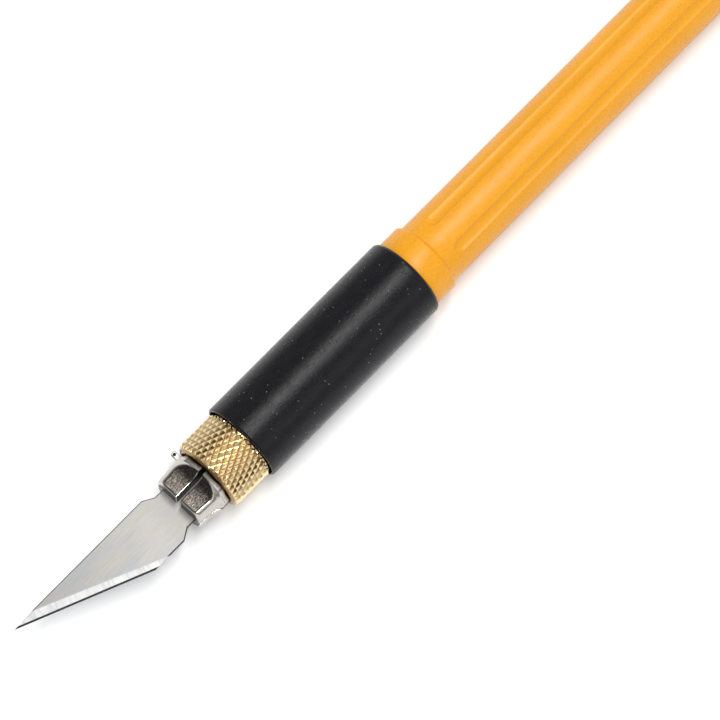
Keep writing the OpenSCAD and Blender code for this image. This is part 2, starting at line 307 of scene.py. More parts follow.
def make_blade_bevel():
    look = Look("blade_bevel", (0.56, 0.56, 0.56), 0.06, 0.4)
    lines = look.noise(look.place((26, 0.5, 1), BEVEL_TURN, "lay"), 3, 0.6)
    bands = look.noise(look.place((1.6, 0.3, 1), BEVEL_TURN, "lay"), 2, 0.5)
    light = look.ramp(bands, (0.35, (0.44, 0.44, 0.445)), (0.65, (0.56, 0.56, 0.56)))
    shade = look.ramp(lines, (0.35, 0.72), (0.65, 1.0))
    look.into("Base Color", look.times(light, shade))
    look.gloss(lines, 0.28, 0.42)
    look.bump(lines, 0.3, 10)
    return look.material


def make_blade_line(name, dark, light):
    look = Look(name, dark, 0.6, 0.45)
    lines = look.noise(look.place((12, 2, 2), BEVEL_TURN, "lay"), 3, 0.6)
    look.tint(lines, dark, light)
    look.gloss(lines, 0.38, 0.52)
    look.bump(lines, 0.2, 10)
    return look.material


def make_nickel():
    look = Look("polished_nickel", (0.48, 0.455, 0.415), 1.0, 0.14)
    wear = look.noise(look.place((1.2, 1.2, 1.2)), 4, 0.6)
    fine = look.noise(look.place((1.2, 14, 14)), 3, 0.6)
    plate = look.ramp(wear, (0.3, (0.44, 0.415, 0.375)), (0.7, (0.53, 0.505, 0.46)))
    # painted shade: the turned back of the head, beside the nut, is darkened
    along = look.spread(look.add(look.parts()["X"], wear), 0.0, 1.0, (head_x + 0.85, head_x + 1.5))
    painted_shade_by_nut = look.ramp(along, (0.0, 1.0), (0.6, (0.42, 0.36, 0.31)), (1.0, (0.24, 0.2, 0.17)))
    look.into("Base Color", look.times(plate, painted_shade_by_nut))
    look.gloss(wear, 0.09, 0.2)
    look.bump(fine, 0.05, 10)
    return look.material


def make_ground():
    look = Look("ground_flat", (0.16, 0.15, 0.14), 0.75, 0.42)
    grain = look.noise(look.place((3.2, 6.5, 6.5), (0, 0, 12)), 5, 0.75)
    patch = look.noise(look.place((0.9, 0.9, 0.9)), 3, 0.5)
    grey = look.ramp(grain, (0.38, (0.012, 0.010, 0.009)), (0.5, (0.085, 0.074, 0.064)),
                     (0.62, (0.36, 0.325, 0.285)))
    # painted highlight and shade: the flats are brighter at the front and darker where the grinding runs
    # out
    painted_light_on_flat = look.spread(look.add(look.parts()["X"], patch), 0.0, 1.0, (jaw_x + 1.2, head_x - 0.4))
    shade = look.ramp(painted_light_on_flat, (0.0, 1.25), (0.45, 0.8), (1.0, 0.22))
    look.into("Base Color", look.times(grey, shade))
    look.gloss(grain, 0.3, 0.55)
    look.bump(grain, 0.5, 20)
    return look.material


def make_side():
    look = Look("satin_nickel", (0.48, 0.455, 0.415), 1.0, 0.28)
    wear = look.noise(look.place((2, 5, 5)), 4, 0.6)
    look.tint(wear, (0.44, 0.415, 0.375), (0.54, 0.51, 0.465))
    look.gloss(wear, 0.22, 0.36)
    look.bump(wear, 0.1, 10)
    return look.material


# painted shade: near-black nickel for the slot walls and the jaws' front faces
def make_shaded_wall():
    look = Look("nickel_wall_painted_shade", (0.07, 0.062, 0.055), 0.9, 0.4)
    saw = look.noise(look.place((2, 3, 16)), 3, 0.6)
    look.tint(saw, (0.035, 0.030, 0.027), (0.11, 0.10, 0.09))
    look.gloss(saw, 0.32, 0.48)
    look.bump(saw, 0.2, 10)
    return look.material


def make_ear():
    look = Look("bright_nickel", (0.78, 0.775, 0.76), 0.12, 0.5, Specular_IOR_Level=0.25)
    wear = look.noise(look.place((3, 3, 3)), 4, 0.6)
    look.tint(wear, (0.72, 0.71, 0.69), (0.84, 0.83, 0.81))
    look.gloss(wear, 0.42, 0.6)
    return look.material


# painted shade: a near-black border along the ground flats' edges and round the ear's top edge and hole
def make_shade_border():
    look = Look("painted_shade_border", (0.012, 0.011, 0.010), 0.4, 0.45)
    grain = look.noise(look.place((5, 9, 9)), 3, 0.6)
    look.tint(grain, (0.006, 0.005, 0.005), (0.025, 0.022, 0.02))
    look.gloss(grain, 0.38, 0.55)
    return look.material


def make_brass():
    look = Look("knurl_brass", (0.95, 0.71, 0.42), 1.0, 0.2)
    wear = look.noise(look.place((1.5, 1.5, 1.5)), 4, 0.6)
    fine = look.noise(look.place((9, 9, 9)), 3, 0.6)
    # painted shade: the knurl's valleys are darkened, told from the tops by their distance from the axis
    off_axis = look.node("ShaderNodeVectorMath", operation="DISTANCE")
    look.link(look.place((0, 1, 1)), off_axis.inputs[0])
    off_axis.inputs[1].default_value = (0, 0, axis_z)
    metal = look.ramp(wear, (0.3, (0.91, 0.69, 0.38)), (0.7, (0.98, 0.78, 0.46)))
    valley_shade_mask = look.spread(off_axis.outputs["Value"], 0.0, 1.0, (nut_r - 0.36, nut_r - 0.02))
    depth = look.ramp(valley_shade_mask, (0.0, (0.34, 0.27, 0.2)), (0.25, (0.74, 0.69, 0.62)), (0.5, 1.0))
    look.into("Base Color", look.times(metal, depth))
    look.gloss(fine, 0.12, 0.26)
    look.bump(fine, 0.12, 10)
    return look.material


def make_rubber():
    """Black rubber with pale specks of dust."""
    look = Look("satin_rubber", (0.005, 0.005, 0.0065), 0.0, 0.26, Specular_IOR_Level=0.18)
    fine = look.noise(look.place((3.6, 3.6, 3.6)), 5, 0.8)
    cloud = look.noise(look.place((0.5, 0.9, 0.9)), 3, 0.5)
    cells = look.node("ShaderNodeTexVoronoi", feature="F1", Scale=1.15, Randomness=1.0)
    look.link(look.place((1, 1, 1)), cells.inputs["Vector"])
    speck = look.ramp(cells.outputs["Distance"], (0.045, 1.0), (0.085, 0.0))
    base = look.ramp(cloud, (0.3, (0.0035, 0.0034, 0.0050)), (0.7, (0.0065, 0.0065, 0.0085)))
    look.into("Base Color", look.mix(speck, base, (0.28, 0.29, 0.30)))
    look.gloss(fine, 0.14, 0.4, FINE_GRAIN)
    look.bump(fine, 1.0, 30)
    return look.material


def make_plastic():
    look = Look("orange_plastic", (0.65, 0.275, 0.005), 0.0, 0.38, Specular_IOR_Level=0.33)
    grain = look.noise(look.place((3.4, 3.4, 3.4)), 5, 0.8)
    cloud = look.noise(look.place((0.12, 0.4, 0.4)), 3, 0.5)
    orange = look.ramp(cloud, (0.3, (0.635, 0.262, 0.003)), (0.7, (0.675, 0.288, 0.006)))
    dust = look.ramp(grain, (0.4, 0.93), (0.6, 1.03))
    look.into("Base Color", look.times(orange, dust))
    look.gloss(grain, 0.2, 0.46, FINE_GRAIN)
    look.bump(grain, 1.0, 30)
    return look.material


def make_turned(name, colour, dark):
    look = Look(name, colour, 1.0, 0.28)
    rings = look.noise(look.place((14, 0.4, 0.4)), 3, 0.6)
    look.tint(rings, dark, colour)
    look.gloss(rings, 0.2, 0.38)
    look.bump(rings, 0.2, 10)
    return look.material


def make_rack():
    look = Look("rack_plastic", (0.80, 0.80, 0.77), 0.0, 0.42)
    grain = look.noise(look.place((5, 5, 5)), 4, 0.7)
    cloud = look.noise(look.place((0.3, 0.5, 0.5)), 2, 0.5)
    look.tint(cloud, (0.76, 0.76, 0.73), (0.83, 0.83, 0.80))
    look.gloss(grain, 0.35, 0.5)
    look.bump(grain, 0.15, 20)
    return look.material


def make_seal():
    look = Look("seal_rubber", (0.02, 0.02, 0.022), 0.0, 0.35)
    fine = look.noise(look.place((8, 8, 8)), 3, 0.6)
    look.tint(fine, (0.015, 0.015, 0.017), (0.03, 0.03, 0.033))
    look.gloss(fine, 0.28, 0.42)
    return look.material


# painted reflection: the fine edge and the rim round a blade's outline are near black
BLADE_LOOKS = [
    make_blade_body(), make_blade_bevel(),
    make_blade_line("blade_edge", (0.003, 0.003, 0.003), (0.012, 0.012, 0.013)),
    make_blade_line("blade_rim", (0.02, 0.02, 0.019), (0.06, 0.059, 0.057))
]
BODY, BEVEL, FINE, RIM = range(len(BLADE_LOOKS))
JAW_LOOKS = [make_nickel(), make_ground(), make_side(), make_shaded_wall(), make_shade_border(), make_ear()]
PLATED, GROUND, SIDE, SHADED_WALL, SHADE_BORDER, EAR = range(len(JAW_LOOKS))
BRASS = make_brass()
RUBBER = make_rubber()
PLASTIC = make_plastic()
STEEL = make_turned("turned_steel", (0.60, 0.59, 0.57), (0.46, 0.45, 0.44))
BLACKENED_AND_SHADE = make_turned("blackened_steel_and_painted_shade", (0.045, 0.042, 0.04), (0.02, 0.019, 0.018))
FERRULE = make_turned("turned_brass", (0.80, 0.60, 0.30), (0.62, 0.44, 0.20))
RACK = make_rack()
SEAL = make_seal()

# ---------------------------------------------------------------- blades
THICK = blade_high[2] - blade_low[2]
HALF_W = (blade_high[1] - blade_low[1]) / 2
HALF_TANG = 3.0
TANG_L, SHOULDER_L = 15.4, 16.97
LONG_TANG_L, LONG_SHOULDER_L = 20.5, 21.9
SLOT_L, SLOT_W = 5.2, 2.5
CHAMFER = 0.14
# the fine edge's width, and half the thickness at the cutting edge and at the fine edge's back
FINE_W = 0.28
EDGE, KNEE = 0.008, 0.063
# how far apart the grain of a blade's two faces is taken
FACE_APART = 3


def inside(point, polygon):
    """Whether a point is inside a polygon."""
    x, y = point
    found = False
    for (x0, y0), (x1, y1) in zip(polygon, polygon[1:] + polygon[:1]):
        if (y0 > y) != (y1 > y) and x < (x1 - x0) * (y - y0) / (y1 - y0) + x0:
            found = not found
    return found


def inset(polygon, amount):
    """The polygon, taken anticlockwise, moved inwards by that amount."""
    out = []
    count = len(polygon)
    for i, point in enumerate(polygon):
        p = Vector(point)
        before = (p - Vector(polygon[i - 1])).normalized()
        after = (Vector(polygon[(i + 1) % count]) - p).normalized()
        side = Vector((-before.y - after.y, before.x + after.x)).normalized()
        lean = max(0.35, side.dot(Vector((-after.y, after.x))))
        out.append(tuple(p + side * amount / lean))
    return out


class StraightBevel:
    """A ground bevel along a straight edge from p0 to p1, its steel on the left."""

    def __init__(self, p0, p1, w0, w1):
        self.p0, self.p1 = Vector(p0), Vector(p1)
        self.run = (self.p1 - self.p0).normalized()
        self.side = Vector((-self.run.y, self.run.x))
        self.w0, self.w1 = w0, w1
        self.length = (self.p1 - self.p0).length

    def lines(self):
        """The inner line and the fine edge's line, drawn past both ends."""
        out = []
        for a, b in ((self.w0, self.w1), (FINE_W, FINE_W)):
            slope = (b - a) / self.length
            out.append([
                tuple(self.p0 + self.run * s + self.side * (a + slope * s))
                for s in (-3, self.length + 5)
            ])
        return out

    def depth(self, point):
        """How far in from the edge a point is, and the bevel's width there."""
        d = Vector(point) - self.p0
        s = d.dot(self.run)
        return d.dot(self.side), self.w0 + (self.w1 - self.w0) * s / self.length


class ArchedBevel:
    """A ground bevel along an arc, its steel on the inside."""

    def __init__(self, centre, radius, width, start, end):
        self.centre, self.radius, self.width = Vector(centre), radius, width
        self.start, self.end = start, end

    def lines(self):
        out = []
        for w in (self.width, FINE_W):
            out.append([
                tuple(self.centre + (self.radius - w) * Vector((math.cos(a), math.sin(a))))
                for a in (self.start + (self.end - self.start) * i / 80 for i in range(81))
            ])
        return out

    def depth(self, point):
        return self.radius - (Vector(point) - self.centre).length, self.width


def blade_height(point, bevels):
    """Half the blade's thickness at a point."""
    height = THICK / 2
    for bevel in bevels:
        d, width = bevel.depth(point)
        if d < width:
            if d < FINE_W:
                h = EDGE + (KNEE - EDGE) * max(d, 0) / FINE_W
            else:
                h = KNEE + (THICK / 2 - KNEE) * (d - FINE_W) / (width - FINE_W)
            height = min(height, h)
    return height


def make_blade(name, outline, bevels, hole, matrix, body, node):
    """A flat blade from its outline, with its bevels ground on both faces."""
    rim = inset(outline, CHAMFER)
    hole_rim = inset(hole[::-1], -CHAMFER)[::-1]
    points, edges = [], []

    def path(line, closed):
        start = len(points)
        points.extend(Vector(p) for p in line)
        edges.extend((start + i, start + i + 1) for i in range(len(line) - 1))
        if closed:
            edges.append((start + len(line) - 1, start))

    for line in (outline, rim, hole, hole_rim):
        path(line, True)
    for bevel in bevels:
        for line in bevel.lines():
            path(line, False)
    places, _, triangles, *_ = delaunay_2d_cdt(points, edges, [], 0, 1e-5)
    bm = bmesh.new()
    lay = bm.verts.layers.float_vector.new("lay")
    top, low = {}, {}

    def on_line(p, line):
        for a, b in zip(line, line[1:] + line[:1]):
            a, b = Vector(a), Vector(b)
            t = max(0.0, min(1.0, (p - a).dot(b - a) / (b - a).length_squared))
            if (a + (b - a) * t - p).length < 2e-4:
                return True
        return False

    def corner(i, side):
        table = top if side > 0 else low
        if i not in table:
            p = places[i]
            height = blade_height(p, bevels)
            if on_line(p, outline) or on_line(p, hole):
                height = min(height, max(EDGE, THICK / 2 - CHAMFER * 0.8))
            vert = bm.verts.new((p.x, p.y, side * height))
            vert[lay] = (p.x, p.y, side * FACE_APART)
            table[i] = vert
        return table[i]

    used = {}
    for triangle in triangles:
        centre = sum((places[i] for i in triangle), Vector((0, 0))) / 3
        if not inside(centre, outline) or inside(centre, hole):
            continue
        kind = BODY
        for bevel in bevels:
            d, width = bevel.depth(centre)
            if d < width:
                kind = max(kind, FINE if d < FINE_W else BEVEL)
        if kind == BODY and (not inside(centre, rim) or inside(centre, hole_rim)):
            kind = RIM
        for side in (1, -1):
            ids = triangle if side > 0 else triangle[::-1]
            face = bm.faces.new([corner(i, side) for i in ids])
            face.material_index = kind
        for a, b in zip(triangle, triangle[1:] + triangle[:1]):
            used[(a, b)] = kind
    for (a, b), kind in used.items():
        if (b, a) not in used:
            face = bm.faces.new((corner(a, -1), corner(b, -1), corner(b, 1), corner(a, 1)))
            face.material_index = kind
    bm.transform(matrix)
    finish_mesh(name, bm, BLADE_LOOKS, body, [node], crease=12)


def tang_slot(x, y):
    """The oblong hole in a tang, about its middle, anticlockwise."""
    r = SLOT_W / 2
    steps = 14
    out = []
    for side, start in ((1, -90), (-1, 90)):
        for i in range(steps + 1):
            a = math.radians(start + 180 * i / steps)
            out.append((x + side * (SLOT_L / 2 - r) + r * math.cos(a), y + r * math.sin(a)))
    return out


def straight_blade(name, matrix, body, node):
    tip = (-BLADE_L, HALF_W - 0.14)
    heel = (-22.4, -HALF_W)
    outline = [
        (0, -HALF_TANG), (0, HALF_TANG), (-TANG_L, HALF_TANG), (-SHOULDER_L, HALF_W),
        (-BLADE_L + 4.2, HALF_W), tip, heel, (-SHOULDER_L, -HALF_W), (-TANG_L, -HALF_TANG)
    ]
    bevels = [StraightBevel(tip, heel, 1.42, 1.05)]
    make_blade(name, outline, bevels, tang_slot(-6.3, 0), matrix, body, node)


fitted_place = Matrix.Translation((blade_high[0], 0, axis_z))
straight_blade("fitted_blade", fitted_place, "fitted_blade", "blade")

# the spares lie flat in the rack, whose plane is turned about the knife's axis to lie between flutes
FLUTES, FIRST_FLUTE = 6, 38.1
RACK_TURN = math.radians(FIRST_FLUTE + 180 / FLUTES - 90)
STACK_X = spigot_x - 1.6
RACK_TOP = -0.65
STACK_GAP = 0.08


def stacked(level):
    """The place of a spare blade in the stack on the rack."""
    height = RACK_TOP + STACK_GAP + THICK / 2 + level * (THICK + STACK_GAP)
    return (Matrix.Translation((0, 0, axis_z)) @ Matrix.Rotation(RACK_TURN, 4, "X")
            @ Matrix.Translation((STACK_X, 0, height)))


def chisel_blade():
    half = HALF_W + 0.06
    front = -35.3
    outline = [
        (0, -HALF_TANG), (0, HALF_TANG), (-LONG_TANG_L, HALF_TANG), (-LONG_SHOULDER_L, half),
        (front, half), (front, -half), (-LONG_SHOULDER_L, -half), (-LONG_TANG_L, -HALF_TANG)
    ]
    bevels = [StraightBevel((front, half), (front, -half), 1.5, 1.5)]
    make_blade("spare_chisel", outline, bevels, tang_slot(-6.3, 0), stacked(2), "cap",
               "spare_chisel_blade")


def curved_blade():
    """A blade with an arched edge and a pointed tang, drawn with its edge at +Y and then mirrored."""
    centre, radius = Vector((-18.6, -21.57)), 29.3
    tang_w, slant_end_x, tang_end_x, arc_x = 6.15, -10.45, -16.95, -17.6
    width = radius + centre.y
    start = math.acos((arc_x - centre.x) / radius)
    end = math.pi - math.asin(-centre.y / radius)
    rim = [centre + radius * Vector((math.cos(a), math.sin(a)))
           for a in (start + (end - start) * i / 64 for i in range(65))]
    outline = [(0, 0), (0, 0.02), (slant_end_x, tang_w), (tang_end_x, tang_w)]
    outline += [tuple(p) for p in rim]
    bevels = [ArchedBevel(centre, radius, 1.25, start - 0.1, end + 0.1),
              StraightBevel((slant_end_x, tang_w), (0, -0.2), 1.2, 1.2)]
    mirrored = stacked(1) @ Matrix.Diagonal((1, -1, 1, 1)) @ Matrix.Translation((0, -width / 2, 0))
    make_blade("spare_curved", outline, bevels, tang_slot(-12, tang_w / 2), mirrored, "cap",
               "spare_curved_blade")


straight_blade("spare_straight", stacked(0), "cap", "spare_straight_blade")
chisel_blade()
curved_blade()

# ---------------------------------------------------------------- jaws
HEAD_R, HEAD_FRONT_R, FINGER_R = 4.58, 4.3, 2.6
# how much the radius falls along the cone, and beside the nut
CONE_DROP, SHOULDER_DROP = 0.55, 0.2
# a ground flat's height above the axis at the front, and its rise in degrees
TOP_FLAT = (2.95, 2)
SIDE_FLAT = (3.8, 4)
FLAT_L = head_x - jaw_x - 1.8
RUNOUT_R = 2.1
NO_FLAT = 99.0
# half the width of the upright slot and of the level one
WALL_Y = 0.35
WALL_Z = THICK / 2 + 0.01


def head_radius(x):
    """The turned outline of the collet, its corner at the back a little rounded."""
    front = HEAD_FRONT_R + (HEAD_R - HEAD_FRONT_R) * (x - jaw_x) / (head_x - 0.6 - jaw_x)
    front = smooth_min(front, HEAD_R, 0.1)
    rear = HEAD_R - (x - head_x) * CONE_DROP
    shoulder = HEAD_R - (x - head_x) * SHOULDER_DROP
    inside_nut = min(max((x - nut_x - 0.08) / 0.12, 0), 1)
    rear = shoulder + (rear - shoulder) * inside_nut
    return max(smooth_min(front, rear, 0.35), FINGER_R)


def flat_height(x, flat):
    """How high a ground flat is above the axis at a station, or a large number past its end."""
    level, rise = flat
    at = x - jaw_x
    height = level + at * math.tan(math.radians(rise))
    past = at - FLAT_L
    if past >= RUNOUT_R:
        return NO_FLAT
    if past > 0:
        height += RUNOUT_R - math.sqrt(RUNOUT_R ** 2 - past ** 2)
    return height


def runout_stations(flat, stop):
    """Stations along a run-out, spaced so that its arch is smooth down to a half width of stop."""
    def half_width(x):
        r = head_radius(x)
        return math.sqrt(max(r * r - flat_height(x, flat) ** 2, 0))

    low, high = jaw_x + FLAT_L, jaw_x + FLAT_L + RUNOUT_R - 1e-6
    widest = half_width(low)
    count = 13
    out = []
    for i in range(1, count + 1):
        wanted = stop + (widest - stop) * math.cos(math.pi / 2 * i / count)
        a, b = low, high
        for _ in range(40):
            mid = (a + b) / 2
            if half_width(mid) > wanted:
                a = mid
            else:
                b = mid
        out.append((a + b) / 2)
    return out


def rounded(before, corner, after, size, steps):
    """Points that round a corner off between the points before and after it."""
    before, corner, after = Vector(before), Vector(corner), Vector(after)
    a = corner + (before - corner).normalized() * min(size, (before - corner).length / 2.2)
    b = corner + (after - corner).normalized() * min(size, (after - corner).length / 2.2)
    out = []
    for i in range(steps + 1):
        t = i / steps
        out.append((1 - t) ** 2 * a + 2 * t * (1 - t) * corner + t * t * b)
    return out


def jaw_section(x, shrink, round_off):
    """One jaw's outline at a station, as (y, z) points, and the look of each side after a point."""
    r = head_radius(x) - round_off
    top = flat_height(x, TOP_FLAT) - shrink
    side = flat_height(x, SIDE_FLAT) - shrink
    wall_y, wall_z = WALL_Y + shrink, WALL_Z + shrink
    top_y = math.sqrt(max(r * r - top * top, 0)) if top < r else 0.0
    if top_y <= wall_y:
        top_y = wall_y
        top = math.sqrt(r * r - wall_y ** 2)
    side_z = math.sqrt(max(r * r - side * side, 0)) if side < r else 0.0
    if side_z <= wall_z:
        side_z = wall_z
        side = math.sqrt(r * r - wall_z ** 2)
    inner, slot_top = (wall_y, wall_z), (wall_y, top)
    facet_end, side_start, side_end = (top_y, top), (side, side_z), (side, wall_z)
    a0, a1 = math.atan2(top, top_y), math.atan2(side_z, side)
    steps = 14
    curve = []
    for i in range(steps + 1):
        a = a0 + (a1 - a0) * i / steps
        curve.append((r * math.cos(a), r * math.sin(a)))
    if (a0 - a1) * r < 1e-4:
        curve = [facet_end] * (steps + 1)
    points, looks = [], []

    def add(line, look):
        for p in line:
            points.append((p[0], p[1]))
            looks.append(look)

    def straight(a, b, steps, look):
        a, b = Vector(a), Vector(b)
        add([a + (b - a) * (i + 1) / (steps + 1) for i in range(steps)], look)

    def bordered(a, b, start, stop, steps):
        """Points along a ground flat that has a painted shade border at each end."""
        a, b = Vector(a), Vector(b)
        length = max((b - a).length, 1e-9)
        first, last = min(start / length, 0.3), 1 - min(stop / length, 0.3)
        for i in range(steps + 1):
            add([a + (b - a) * (first + (last - first) * i / steps)], GROUND if i < steps else SHADE_BORDER)

    # the five rounded corners, from the slots' crossing up the upright slot and round
    c0 = rounded(side_end, inner, slot_top, 0.03, 1)
    c1 = rounded(inner, slot_top, facet_end, 0.1, 3)
    c2 = rounded(slot_top, facet_end, curve[5], 0.15, 3)
    c3 = rounded(curve[-6], side_start, side_end, 0.15, 3)
    c4 = rounded(side_start, side_end, inner, 0.06, 2)
    # the slot walls take the painted shade
    add(c0[:-1], PLATED)
    add(c0[-1:], SHADED_WALL)
    straight(c0[-1], c1[0], 3, SHADED_WALL)
    add(c1[:-1], PLATED)
    add(c1[-1:], SHADE_BORDER)
    bordered(c1[-1], c2[0], 0.12, 0.2, 7)
    add(c2 + curve[6:-6] + c3[:-1], PLATED)
    add(c3[-1:], SIDE)
    straight(c3[-1], c4[0], 6, SIDE)
    add(c4[:-1], PLATED)
    add(c4[-1:], SHADED_WALL)
    straight(c4[-1], c0[0], 3, SHADED_WALL)
    return points, looks


def add_ear(bm):
    """A small flat ear beside the nut, with a blind hole drilled down into its end."""
    x0, x1, y0, y1 = nut_x - 0.9, nut_x - 0.12, 3.9, 5.75
    z0, z1 = axis_z - 1.13, axis_z - 0.28
    hole_x, hole_y = x0 + 0.36, y1 - 0.42
    count = 48
    angles = [TAU * (i + 0.5) / count for i in range(count)]

    def loop(z, shrink):
        """The ear's outline, a rectangle with round corners, as a ring about the hole."""
        out = []
        for a in angles:
            c, s = math.cos(a), math.sin(a)
            along = ((x1 if c > 0 else x0) - hole_x) / c
            across = ((y1 if s > 0 else y0) - hole_y) / s
            r = smooth_min(along, across, 0.22) - shrink
            out.append((hole_x + r * c, hole_y + r * s, z))
        return out

    def ring(z, r):
        return [(hole_x + r * math.cos(a), hole_y + r * math.sin(a), z) for a in angles]

    outside = ((z0, 0.06), (z0 + 0.06, 0), (z1 - 0.12, 0), (z1 - 0.03, 0.04), (z1, 0.1))
    hole = ((z1, 0.24), (z1 - 0.02, 0.22), (z1 - 0.4, 0.2), (z1 - 0.4, 0.005))
    rings = [loop(z, shrink) for z, shrink in outside] + [ring(z, r) for z, r in hole]
    # painted shade: the ear's top edge and its hole are near black
    add_rings(bm, rings, ring_mats=[SIDE, SIDE, SHADE_BORDER, SHADE_BORDER, EAR, SHADE_BORDER, SHADE_BORDER, SHADE_BORDER])


def make_jaw(node, body, side_y, side_z, ear=False):
    """One jaw of the four, on the sides of the axis that side_y and side_z say."""
    stations = {jaw_x + 0.5 + FLAT_L * i / 6 for i in range(5)}
    stations |= {jaw_x + FLAT_L}
    stations |= set(runout_stations(TOP_FLAT, WALL_Y)) | set(runout_stations(SIDE_FLAT, WALL_Z))
    stations |= {head_x - 0.2 + 0.1 * i for i in range(7)}
    stations |= {nut_x + 0.08, nut_x + 0.2, root_x - 0.05}
    stations |= {head_x + past for past in (0.7, 1.6, 2.4, 3.2, 3.55, 3.65, 5, 7)}
    # how far behind the front, how much smaller the section is there, and how much smaller its round
    front = (
        (0, 0.12, 0.5), (0.035, 0.05, 0.38), (0.12, 0.0, 0.22), (0.24, 0.0, 0.1),
        (0.33, 0.0, 0.05), (0.42, 0.0, 0.02)
    )
    rows = [(jaw_x + at, shrink, round_off) for at, shrink, round_off in front]
    last = rows[-1][0]
    for x in sorted(stations):
        if x - last > 0.012:
            rows.append((x, 0.0, 0.0))
            last = x
    rings = []
    for x, shrink, round_off in rows:
        points, looks = jaw_section(x, shrink, round_off)
        rings.append([(x, side_y * y, axis_z + side_z * z) for y, z in points])
    bm = bmesh.new()
    add_rings(bm, rings, col_mats=looks)
    if ear:
        add_ear(bm)
    # the front face takes the painted shade of the walls, the rounded front edge is polished all round,
    # and the flats have a painted shade border behind it
    for face in bm.faces:
        far = max(v.co.x for v in face.verts)
        if far < jaw_x + 0.121:
            face.material_index = SHADED_WALL if face.calc_center_median().x < jaw_x + 1e-4 else PLATED
        elif far < jaw_x + 0.34 and face.material_index == GROUND:
            face.material_index = SHADE_BORDER
    finish_mesh(node + "_look", bm, JAW_LOOKS, body, [node], crease=24)


make_jaw("jaw_upper_spine", "upper_spine_jaw", 1, 1)
make_jaw("jaw_upper_edge", "upper_edge_jaw", -1, 1)
make_jaw("jaw_lower_spine", "lower_spine_jaw", 1, -1, ear=True)
make_jaw("jaw_lower_edge", "lower_edge_jaw", -1, -1)

# ---------------------------------------------------------------- knurled nut
# diamonds around the nut, how far apart they are along it, and the mesh's steps across each
DIAMONDS = 38
PITCH = 1.66
STEPS = 8
# how deep the knurl is, and the share of a pyramid's height at which its top is flat
KNURL_DEPTH, KNURL_TOP = 0.3, 0.93


def knurl_phase(across, along):
    """For each of the two crossing sets of grooves, 1 in a groove's bottom and 0 halfway between two."""
    u, v = across / STEPS, along / STEPS
    return abs(2 * ((u + v) % 1) - 1), abs(2 * ((u - v) % 1) - 1)


def make_nut():
    columns = DIAMONDS * STEPS
    pocket_r, bore_r = ring_high[1] + 0.05, 4.0
    ring_back = ring_high[0] + 0.05
    knurl_start, knurl_end = nut_x + 0.3, grip_x - 0.12
    rows = round((knurl_end - knurl_start) / PITCH * STEPS)

    def shoulder(x):
        """The rounded front of the nut, which the knurl fades into."""
        t = min((x - nut_x) / 1.15, 1)
        return nut_r - 0.02 - 0.56 * (1 - t) ** 2.4

    plain = [
        (ring_back, bore_r), (ring_back, pocket_r), (nut_x + 0.06, pocket_r),
        (nut_x, pocket_r + 0.05), (nut_x, shoulder(nut_x) - 0.12),
        (nut_x + 0.04, shoulder(nut_x) - 0.03)
    ]
    plain += [(nut_x + x, shoulder(nut_x + x)) for x in (0.11, 0.18, 0.24, 0.3)]
    rings = [polar(x, r, columns) for x, r in plain]
    first = len(rings)
    for row in range(1, rows):
        x = knurl_start + (knurl_end - knurl_start) * row / rows
        ring = []
        for c in range(columns):
            h = min(1 - max(knurl_phase(c, row)), KNURL_TOP) / KNURL_TOP
            r = min(nut_r - KNURL_DEPTH * (1 - h), shoulder(x))
            angle = TAU * c / columns
            ring.append((x, r * math.cos(angle), axis_z + r * math.sin(angle)))
        rings.append(ring)
    last = len(rings)
    back = [
        (knurl_end, nut_r - 0.23), (knurl_end + 0.05, nut_r - 0.3), (nut_back_x - 0.1, nut_r - 0.3),
        (nut_back_x, nut_r - 0.4), (nut_back_x, bore_r + 0.1), (nut_back_x - 0.1, bore_r)
    ]
    rings += [polar(x, r, columns) for x, r in back]

    def split(row, column):
        """Cuts each face of the knurl along the ridge or groove that it lies beside."""
        if row < first - 1 or row >= last:
            return 0
        one, other = knurl_phase(column + 0.5, row - first + 1.5)
        return 2 if one > other else 1

    # painted shade: the pocket for the ring and the bore get the near-black blackened steel, the rest is
    # brass
    dark = [1, 1, 1] + [0] * (len(rings) - 4) + [1]
    bm = bmesh.new()
    add_rings(bm, rings, loop=True, split=split, ring_mats=dark)
    finish_mesh("knurled_nut_look", bm, [BRASS, BLACKENED_AND_SHADE], "nut", ["knurled_nut"],
                crease=5)


make_nut()

# ---------------------------------------------------------------- rubber grip
NOSE_R, RIB_R = 4.75, 5.05
GRIP_COLUMNS = 144


def make_grip():
    lip_r = 5.65
    outer = [(nose_x, NOSE_R), (nose_x, lip_r), (grip_x + 0.15, lip_r), (grip_x, lip_r + 0.03)]
    outer += arc(grip_x + 0.32, grip_r - 0.32, 0.32, 180, 90, 7)
    length = grip_end_x - grip_x
    outer += [(grip_x + length * k / 12, grip_r) for k in range(1, 12)]
    outer += arc(grip_end_x - 0.6, grip_r - 0.6, 0.6, 90, 0, 8)
    outer += [(grip_end_x, NOSE_R)]
    rings = [polar(x, r, GRIP_COLUMNS) for x, r in outer]
    bm = bmesh.new()
    add_rings(bm, rings, loop=True)
    finish_mesh("rubber_grip_look", bm, [RUBBER], "handle", ["rubber_grip"],
                crease=40)


make_grip()

# ---------------------------------------------------------------- handle
HANDLE_R, TAIL_R = 5.0, 4.95
BORE_R = 4.1
FLUTE_R, FLUTE_DEPTH = 1.4, 0.4
# how long a flute's ball-shaped end is at the handle's surface
FLUTE_RUN = math.sqrt(FLUTE_R ** 2 - (FLUTE_R - FLUTE_DEPTH) ** 2)
collar_end = grip_end_x + 3.7
flute_start, flute_end = collar_end + 2.3, cap_x - 9
COLUMNS = 288


def flute_angle(index):
    """Direction of a flute, as an angle from +Y towards +Z."""
    return math.radians(90 + FIRST_FLUTE + 360 / FLUTES * index)


